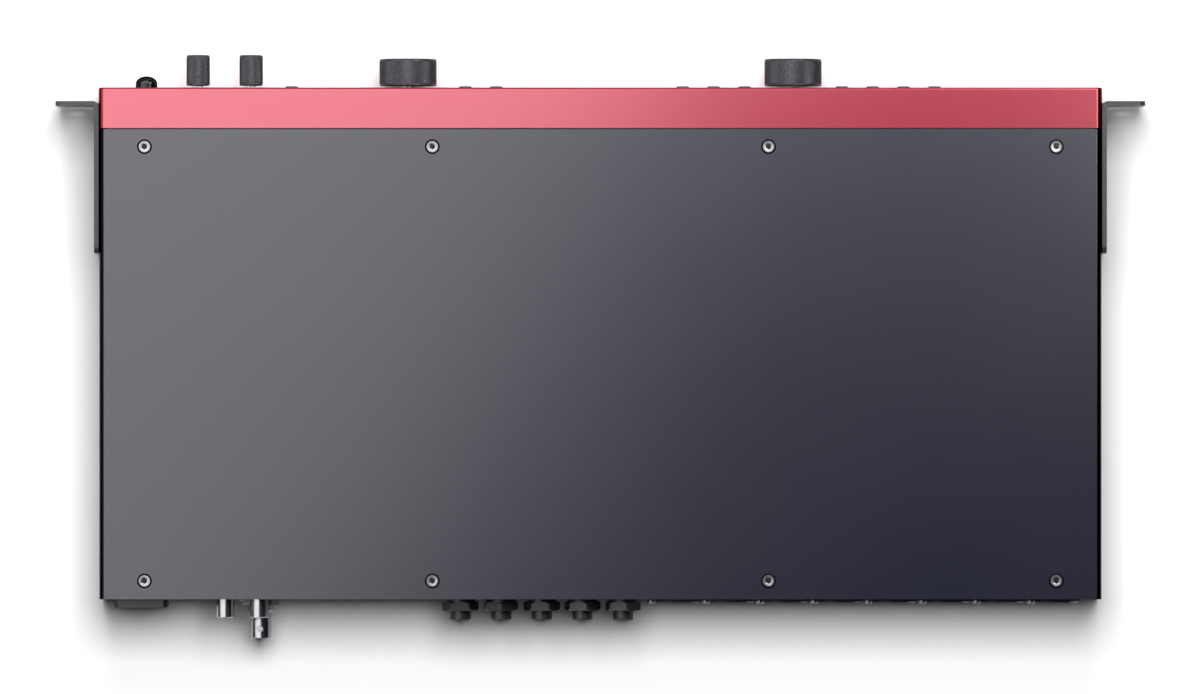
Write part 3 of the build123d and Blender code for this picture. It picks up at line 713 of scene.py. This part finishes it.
def makeKnob(node, shaftNode, body, look):
    centre, low, high = centreOf(node)
    radius, shaftRadius = halfWidth(node), halfWidth(shaftNode)
    front, rear = low.y - centre.y, high.y - centre.y
    around = round(2 * math.pi * radius / look["knurlPitch"])
    start = front + look["rim"] + look["band"]
    end = rear - look["rim"] - look["band"]
    rowsOfKnurl = max(2, round((end - start) / look["knurlPitch"]))
    pitch = (end - start) / rowsOfKnurl
    knurlSteps = rowsOfKnurl * look["samples"]
    inner = radius - look["dishInset"]
    bandRadius = radius - look["bandInset"]
    bore = shaftRadius + look["boreWall"]
    face = [(inner * out, front + look["dish"] * deep) for out, deep in look["dishShape"]]
    face += [
        (inner + look["lip"][0], front + look["lip"][1]),
        (radius - look["rim"], front),
        (bandRadius, front + look["rim"]),
        (bandRadius, start - look["bandGap"]),
    ]
    knurl = [(radius, start + (end - start) * i / knurlSteps) for i in range(knurlSteps + 1)]
    back = [
        (bandRadius, end + look["bandGap"]),
        (bandRadius, rear - look["rim"]),
        (radius - look["rim"], rear),
        (bore, rear),
        (bore, rear - look["boreDepth"]),
        (shaftRadius, rear - look["boreDepth"]),
    ]
    firstKnurl, lastKnurl = len(face), len(face) + len(knurl) - 1

    def knurledRadius(index, plain, along, turn):
        if index < firstKnurl or index > lastKnurl:
            return plain
        rise = (along - start) / pitch
        ridge = min(triangleWave(around * turn + rise / 2), triangleWave(around * turn - rise / 2))
        if index in (firstKnurl, lastKnurl):
            ridge = 0.0  # the knurl runs out at full depth
        return plain - look["knurlDepth"] * (1 - ridge)

    build = bmesh.new()
    addRings(build, face + knurl + back, around * look["samples"], knurledRadius)
    name = f"{node}_knurled"
    knob = addPiece(name, finishMesh(name, build), centre, body, "knobBlack", 24)
    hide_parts(node)


# Shafts: eighteen splines and a plain turned end
shaftLook = {
    "splines": 18,
    "splineDepth": 0.28 * mm,
    "grooveSlope": 1.6,
    "grooveLevel": 0.4,
    "samples": 6,  # mesh steps in one spline
    "chamfer": 0.4 * mm,
    "plainEnd": 6.0 * mm,
    "runOut": 0.01 * mm,
}


def makeShaft(node, body, look):
    centre, low, high = centreOf(node)
    radius = halfWidth(node)
    front, rear = low.y - centre.y, high.y - centre.y
    split = rear - look["plainEnd"]
    rings = [(0, front), (radius - look["chamfer"], front), (radius, front + look["chamfer"])]
    rings += [(radius, split), (radius, split + look["runOut"]), (radius, rear), (0, rear)]

    def splinedRadius(index, plain, along, turn):
        if index not in (2, 3):
            return plain
        groove = look["grooveSlope"] * triangleWave(look["splines"] * turn) - look["grooveLevel"]
        return plain - look["splineDepth"] * max(0.0, min(1.0, groove))

    build = bmesh.new()
    addRings(build, rings, look["splines"] * look["samples"], splinedRadius)
    name = f"{node}_splined"
    shaft = addPiece(name, finishMesh(name, build), centre, body, "chrome", 30)
    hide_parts(node)


controlBodies = {
    "headphone_knob_1": ("headphone_shaft_1", "headphone_control_1"),
    "headphone_knob_2": ("headphone_shaft_2", "headphone_control_2"),
    "output_knob": ("output_shaft", "output_control"),
    "input_knob": ("input_shaft", "input_control"),
}
for knobNode, (shaftNode, controlBody) in controlBodies.items():
    makeKnob(knobNode, shaftNode, controlBody, knobLook)
    makeShaft(shaftNode, controlBody, shaftLook)
print("knobs and shafts made")


# Cover screws: turned head with a broken edge and a six-sided socket, with shade painted inside the socket
coverScrewLook = {
    "across": (-201.8, -74.4, 74.4, 201.8),
    "along": (-88.8, 103.4),
    "steps": 48,
    "shank": ((1.5 * mm, -5.9 * mm), (1.5 * mm, -1.4 * mm)),
    "headRadius": 2.75 * mm,
    "edge": 0.3 * mm,
    "socket": 1.15 * mm,
    "mouth": 1.22,  # width of the socket's mouth, as a share of the socket
    "mouthDepth": 0.08 * mm,
    "depth": 0.9 * mm,
    "drill": 0.45 * mm,
    "drillRise": 0.15 * mm,
    "shadeBand": (-1.2 * mm, -0.12 * mm),
    "shadeReach": 1.3 * mm,
    "shadeArea": 1.0e-6,
}


def addSocketRings(build, look):
    # head face as a ring from the round edge in to a six-sided hole, then its walls and floor
    steps, deep, width = look["steps"], -look["depth"], look["socket"]
    sizes = [(look["headRadius"] - look["edge"], 0.0), (width * look["mouth"], 0.0)]
    sizes += [(width, -look["mouthDepth"]), (width, deep), (look["drill"], deep)]
    roundOnes = (0, len(sizes) - 1)
    rings = []
    for index, (radius, depth) in enumerate(sizes):
        ring = []
        for step in range(steps):
            angle = 2 * math.pi * step / steps
            corner = (angle + math.pi / 6) % (math.pi / 3) - math.pi / 6
            here = radius if index in roundOnes else radius / math.cos(corner)
            ring.append(build.verts.new((here * math.cos(angle), here * math.sin(angle), depth)))
        rings.append(ring)
    return rings


def addScrew(build, place, look):
    steps, start = look["steps"], len(build.verts)
    turns = [2 * math.pi * i / steps for i in range(steps)]
    outer = []
    for radius, depth in (*look["shank"], (look["headRadius"], -look["edge"])):
        outer.append([build.verts.new((radius * math.cos(t), radius * math.sin(t), depth)) for t in turns])
    inner = addSocketRings(build, look)
    bridge(build, outer + inner)
    build.faces.new(outer[0])
    dot = build.verts.new((0, 0, -look["depth"] + look["drillRise"]))
    for step in range(steps):
        build.faces.new((inner[-1][step], inner[-1][(step + 1) % steps], dot))
    build.verts.ensure_lookup_table()
    for vertex in build.verts[start:]:
        vertex.co += place


def isInSocket(face, places, look):
    rise = face.center.z - places[0].z
    nearest = min((face.center.xy - place.xy).length for place in places)
    inBand = look["shadeBand"][0] < rise < look["shadeBand"][1]
    return inBand and face.area < look["shadeArea"] and nearest < look["shadeReach"]


def makeCoverScrews(look):
    build = bmesh.new()
    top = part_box("cover_screws")[1].z
    places = [Vector((x * mm, y * mm, top)) for x in look["across"] for y in look["along"]]
    for place in places:
        addScrew(build, place, look)
    name = "cover_screw_heads"
    mesh = finishMesh(name, build)
    piece = addPiece(name, mesh, (0, 0, 0), "chassis", "screwSteel", 30)
    # the socket's walls and floor take painted shade
    mesh.materials.append(finishes["socketShade"])
    for face in mesh.polygons:
        if isInSocket(face, places, look):
            face.material_index = 1
    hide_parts("cover_screws")


makeCoverScrews(coverScrewLook)


# Turned connectors, drawn as half outlines: (radius, place along the axis) in millimetres
def outline(points, start=0.0):
    return [(radius * mm, start + along * mm) for radius, along in points]


def threadRings(look):
    # small ridges: a flat root, a slope up, a flat crest and a slope down in each turn
    crest, root = look["radius"], look["radius"] - look["depth"]
    ridge = ((root, 0.0), (root, 0.2), (crest, 0.5), (crest, 0.7))  # radius, share of the pitch
    count = max(1, round((look["end"] - look["start"]) / look["pitch"]))
    size = (look["end"] - look["start"]) / count
    rings = []
    for turn in range(count):
        base = look["start"] + turn * size
        rings += [(radius, base + share * size) for radius, share in ridge]
    return rings + [(root, look["end"])]


def makeLathe(name, rings, origin, finish, steps=64):
    build = bmesh.new()
    addRings(build, rings, steps)
    return addPiece(name, finishMesh(name, build), origin, "chassis", finish, 30)


# Outlines called mouth, insulator and contact are measured from the tip, the others from the panel
bncLook = {
    "panel": 111.0 * mm,
    "axisHeight": 18.0 * mm,
    "rear": ((0, -15.4), (6.4, -15.4), (6.4, -1.6), (6.0, -1.6)),
    "thread": {
        "radius": 6.0 * mm,
        "depth": 0.45 * mm,
        "pitch": 0.9 * mm,
        "start": -1.4 * mm,
        "end": 6.2 * mm,
    },
    "barrel": ((4.85, 6.6), (4.85, 9.3), (4.45, 9.55), (4.45, 9.9), (4.85, 10.15)),
    "mouth": ((4.85, -0.45), (4.55, 0), (4.2, 0), (4.1, -0.2), (4.1, -9), (0, -9)),
    "insulator": ((0, -9), (2.4, -9), (2.4, -2.7), (2.2, -2.5), (1.15, -2.5), (1.15, -8), (0, -8)),
    "contact": ((0, -8.5), (1.05, -8.5), (1.05, -2.8), (0.9, -2.6), (0.65, -2.6), (0.65, -7), (0, -7)),
    "lug": ((1.35, 0), (1.35, 0.75), (1.1, 1.0), (0.75, 1.0), (0.6, 0.8), (0, 0.8)),
    "lugPlace": 125.0 * mm,
    "lugBase": 4.85 * mm,
}


def makeBnc(look):
    low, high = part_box("bnc_socket")
    x, z = (low.x + high.x) / 2, look["axisHeight"]
    origin = Vector((x, look["panel"], z))
    tip = high.y - origin.y
    rings = outline(look["rear"]) + threadRings(look["thread"])
    rings += outline(look["barrel"]) + outline(look["mouth"], tip)
    shell = makeLathe("bnc_shell", rings, origin, "chrome", 96)
    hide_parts("bnc_socket")
    insulator, contact = outline(look["insulator"], tip), outline(look["contact"], tip)
    makeLathe("bnc_insulator", insulator, origin, "satinInsulator", 48)
    makeLathe("bnc_contact", contact, origin, "contactGold", 40)
    for name, side, turn in (("upper", 1, 0), ("lower", -1, math.pi)):
        place = (x, look["lugPlace"], z + side * look["lugBase"])
        lug = makeLathe(f"bnc_lug_{name}", outline(look["lug"]), place, "chrome", 40)
        lug.rotation_euler = (math.pi / 2 + turn, 0, 0)


makeBnc(bncLook)

phonoLook = {
    "panel": 111.0 * mm,
    "axisHeight": 36.0 * mm,
    "across": {1: 166.35 * mm, 2: 151.4 * mm},
    "rear": ((0, -12), (4.8, -12), (4.8, 0.3), (4.2, 0.3)),
    "mouth": ((4.2, -0.3), (3.9, 0), (3.75, 0), (3.75, -0.9), (0, -0.9)),
    "insulator": ((1.65, -9), (1.65, -0.9), (1.8, -0.6), (3.45, -0.6), (3.65, -0.85), (3.65, -1.5)),
    "housingRear": 109.45 * mm,
    "housingDepth": 12.9 * mm,
    "housingEdge": 0.5 * mm,
}


def makePhono(number, x, look):
    origin = Vector((x, look["panel"], look["axisHeight"]))
    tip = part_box("rca_sockets")[1].y - origin.y
    rings = outline(look["rear"]) + outline(look["mouth"], tip)
    shell = makeLathe(f"phono_shell_{number}", rings, origin, "chrome", 80)
    insulator = outline(look["insulator"], tip)
    makeLathe(f"phono_insulator_{number}", insulator, origin, "satinInsulator", 56)
    return shell


def makePhonoHousing(shells, look):
    centre, low, high = centreOf("rca_sockets")
    size = Vector((high.x - low.x, look["housingDepth"], high.z - low.z))
    centre.y = look["housingRear"] - size.y / 2
    build = bmesh.new()
    bmesh.ops.create_cube(build, size=1.0)
    for vertex in build.verts:
        vertex.co = Vector(v * s for v, s in zip(vertex.co, size))
    bmesh.ops.bevel(build, geom=build.edges[:], offset=look["housingEdge"], segments=2, affect="EDGES")
    name = "phono_housing"
    housing = addPiece(name, finishMesh(name, build), centre, "chassis", "blackPlastic")
    for piece in shells + [housing]:
        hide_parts("rca_sockets")


phonoShells = [makePhono(number, x, phonoLook) for number, x in phonoLook["across"].items()]
makePhonoHousing(phonoShells, phonoLook)
print("screws and round connectors made")


# Level meters: rows of small unlit cells just proud of the window, and the headphone knobs' pointers
meterLook = {
    "columns": 16,
    "bands": {"meterGreen": (0, 7), "meterAmber": (7, 9), "meterRed": (9, 10)},
    "cell": (2.2 * mm, 1.1 * mm),
    "pitch": (3.35 * mm, 1.6 * mm),
    "proud": 0.03 * mm,
}
pointerLook = {
    "from": 1.3 * mm,
    "to": 3.4 * mm,
    "half": 0.28 * mm,
    "thick": 0.25 * mm,
    "sunk": 0.05 * mm,
}
cellSlope = 0.12 * mm


def addCell(build, centre, size, front, back):
    rings = []
    for depth, spread in ((front, 0.0), (back, cellSlope)):
        ring = []
        for a, b in ((-1, -1), (1, -1), (1, 1), (-1, 1)):
            x, z = centre[0] + a * (size[0] / 2 + spread), centre[1] + b * (size[1] / 2 + spread)
            ring.append(build.verts.new((x, depth, z)))
        build.faces.new(ring)
        rings.append(ring)
    bridge(build, rings)


def makeMeters(look):
    centre, low = centreOf("display_window")[:2]
    front = low.y - look["proud"] - centre.y
    top = max(last for first, last in look["bands"].values())
    for finish, (first, last) in look["bands"].items():
        build = bmesh.new()
        for row in range(first, last):
            for column in range(look["columns"]):
                across = (column - (look["columns"] - 1) / 2) * look["pitch"][0]
                upward = (row - (top - 1) / 2) * look["pitch"][1]
                addCell(build, (across, upward), look["cell"], front, front + 2 * look["proud"])
        name = f"meter_cells_{finish}"
        addPiece(name, finishMesh(name, build), centre, "chassis", finish)


def makePointer(number, look):
    centre, low = centreOf(f"headphone_knob_{number}")[:2]
    front = low.y - centre.y + look["sunk"]
    middle = (look["from"] + look["to"]) / 2
    size = (2 * look["half"], look["to"] - look["from"])
    build = bmesh.new()
    addCell(build, (0, middle), size, front, front + look["thick"])
    name, body = f"headphone_pointer_{number}", f"headphone_control_{number}"
    addPiece(name, finishMesh(name, build), centre, body, "markWhite")


makeMeters(meterLook)
for pointerNumber in (1, 2):
    makePointer(pointerNumber, pointerLook)
print("meters and pointers made")


# Floor
floorLook = {"colour": (0.86, 0.86, 0.86), "half": 6.0, "roughness": 0.6, "shine": 0.1}


def makeFloor(look):
    half = look["half"]
    build = bmesh.new()
    corners = ((-half, -half), (half, -half), (half, half), (-half, half))
    build.faces.new([build.verts.new((x, y, 0)) for x, y in corners])
    mesh = finishMesh("floor", build)
    floor = bpy.data.objects.new("floor", mesh)
    bpy.context.scene.collection.objects.link(floor)
    material = bpy.data.materials.new("paleFloor")
    material.use_nodes = True
    shader = material.node_tree.nodes["Principled BSDF"]
    shader.inputs["Base Color"].default_value = (*look["colour"], 1)
    shader.inputs["Roughness"].default_value = look["roughness"]
    shader.inputs["Specular IOR Level"].default_value = look["shine"]
    mesh.materials.append(material)
    return floor


def shareLights(floor, one):
    # the floor has its own high soft light, for a close shadow, and the key lights leave the floor out
    floorOnly = bpy.data.collections.new("floorOnly")
    floorOnly.objects.link(floor)
    makeLight("floorLight", one).light_linking.receiver_collection = floorOnly
    noFloor = bpy.data.collections.new("noFloor")
    noFloor.objects.link(floor)
    noFloor.collection_objects[0].light_linking.link_state = "EXCLUDE"
    for lamp in caseLights:
        if lamp.name.startswith("key"):
            lamp.light_linking.receiver_collection = noFloor


shareLights(makeFloor(floorLook), floorLight)
print("floor made and lights shared")

bpy.context.view_layer.update()
